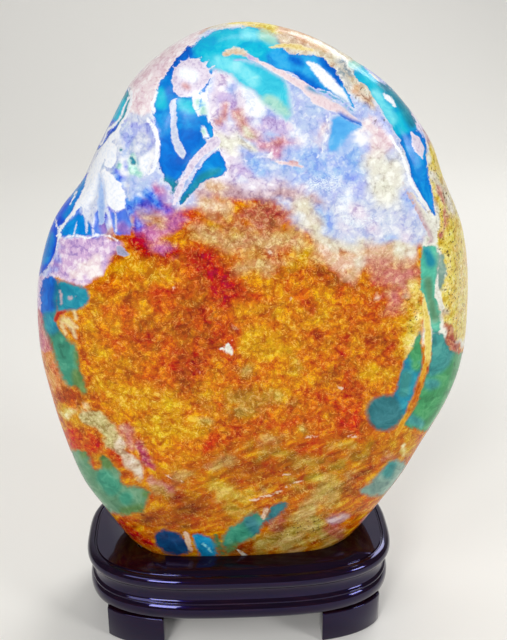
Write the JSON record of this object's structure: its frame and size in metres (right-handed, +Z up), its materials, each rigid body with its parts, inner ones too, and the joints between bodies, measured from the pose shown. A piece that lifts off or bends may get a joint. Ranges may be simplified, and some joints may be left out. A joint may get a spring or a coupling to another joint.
{
  "type": "jade boulder on stand",
  "caption": "Polished multicoloured jade boulder, upright and broad, seated in a carved and lacquered oval wooden stand with short curved feet.",
  "frame": {"origin": "on the floor, under the middle of the whole object's box", "axes": "+Z up, +X to the right seen from the front, front facing -Y"},
  "size_m": [0.279, 0.125, 0.4056],
  "materials": {
    "jade": "polished, orange and cream with blue and green windows",
    "lacquered_wood": "near-black red-brown lacquer, high gloss"
  },
  "bodies": {
    "root": {"jade_boulder": "jade", "stand_board": "lacquered_wood", "foot_front_left": "lacquered_wood", "foot_front_right": "lacquered_wood", "foot_back_left": "lacquered_wood", "foot_back_right": "lacquered_wood"}
  },
  "joints": []
}
